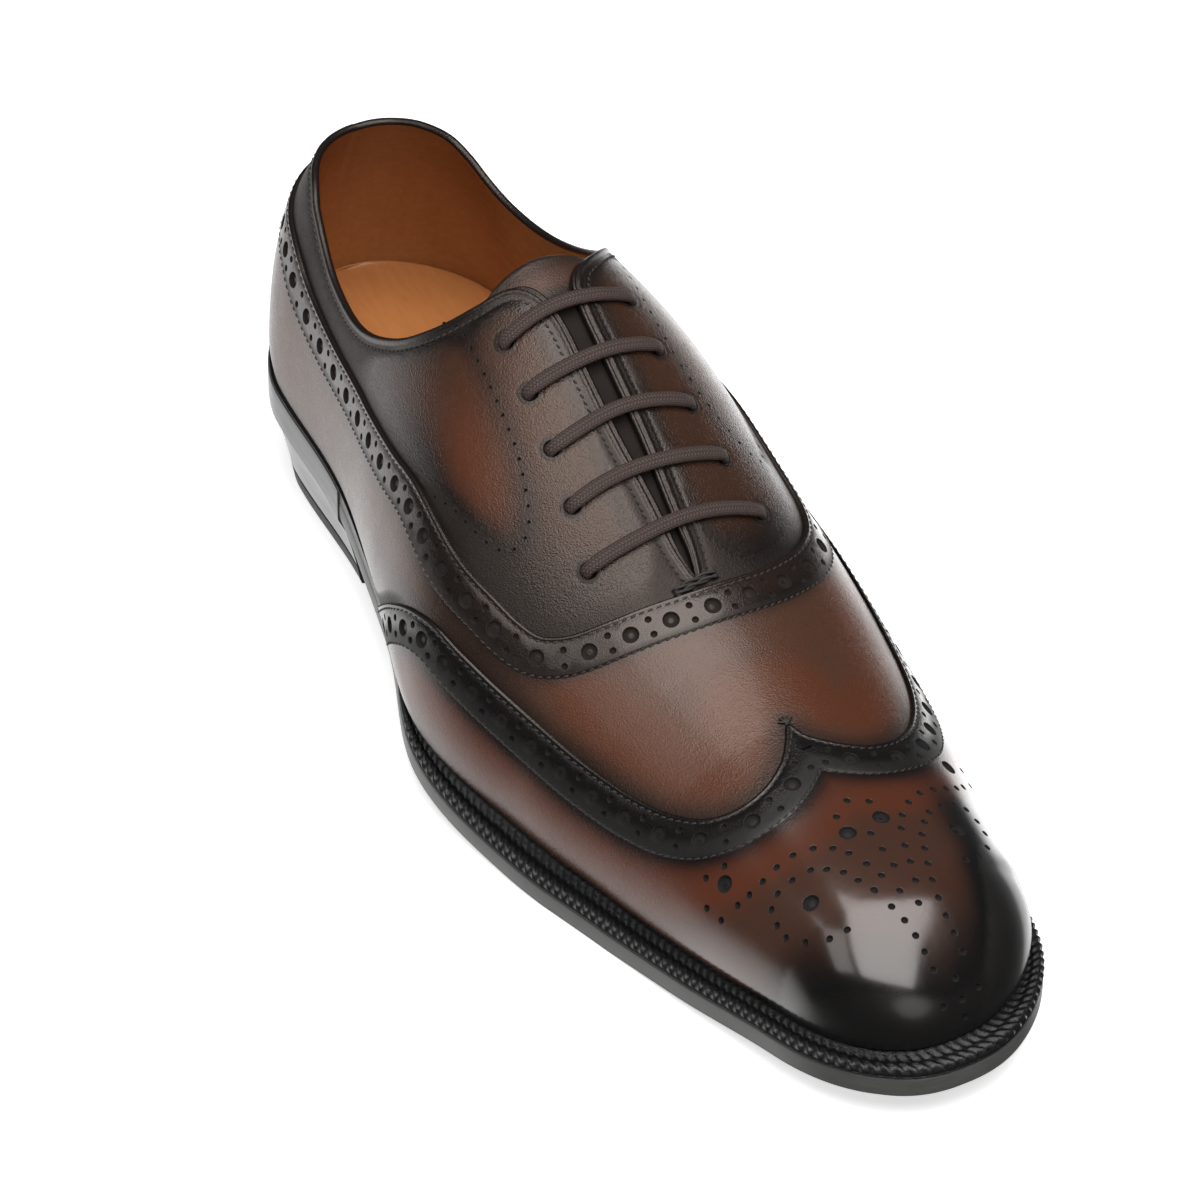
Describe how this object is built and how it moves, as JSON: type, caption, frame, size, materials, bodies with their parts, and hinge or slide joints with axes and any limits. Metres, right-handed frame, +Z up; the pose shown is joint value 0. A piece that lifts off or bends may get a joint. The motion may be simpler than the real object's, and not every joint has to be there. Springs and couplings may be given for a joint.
{
  "type": "wingtip oxford shoe",
  "caption": "Men's right dress shoe with closed lacing, a winged toe cap, a welted leather sole with toe spring and a tapered stacked heel.",
  "frame": {"origin": "on the floor under the middle of the shoe's box", "axes": "+X toward the toe, +Z up, +Y toward the inner side of the foot"},
  "size_m": [0.3036, 0.1094, 0.106],
  "materials": {
    "quarter_leather": "dark brown burnished calf with a red-brown glow and a soft gloss",
    "vamp_leather": "dark brown burnished calf, darker toward its seams",
    "cap_leather": "red-brown calf polished to near black at the toe",
    "tongue_leather": "dark brown calf, satin",
    "insole_leather": "smooth tan leather",
    "welt_leather": "black, notched and waxed",
    "sole_leather": "black inked edge, smooth",
    "heel_leather": "black inked stack, waxed",
    "heel_rubber": "black, matt",
    "lace_cotton": "dark brown waxed cotton"
  },
  "bodies": {
    "root": {"upper": "quarter_leather", "vamp": "vamp_leather", "wing_cap": "cap_leather", "tongue": "tongue_leather", "insole": "insole_leather", "welt": "welt_leather", "outsole": "sole_leather", "heel_block": "heel_leather", "heel_top_piece": "heel_rubber", "lace_bar_1": "lace_cotton", "lace_bar_2": "lace_cotton", "lace_bar_3": "lace_cotton", "lace_bar_4": "lace_cotton", "lace_bar_5": "lace_cotton"}
  },
  "joints": []
}
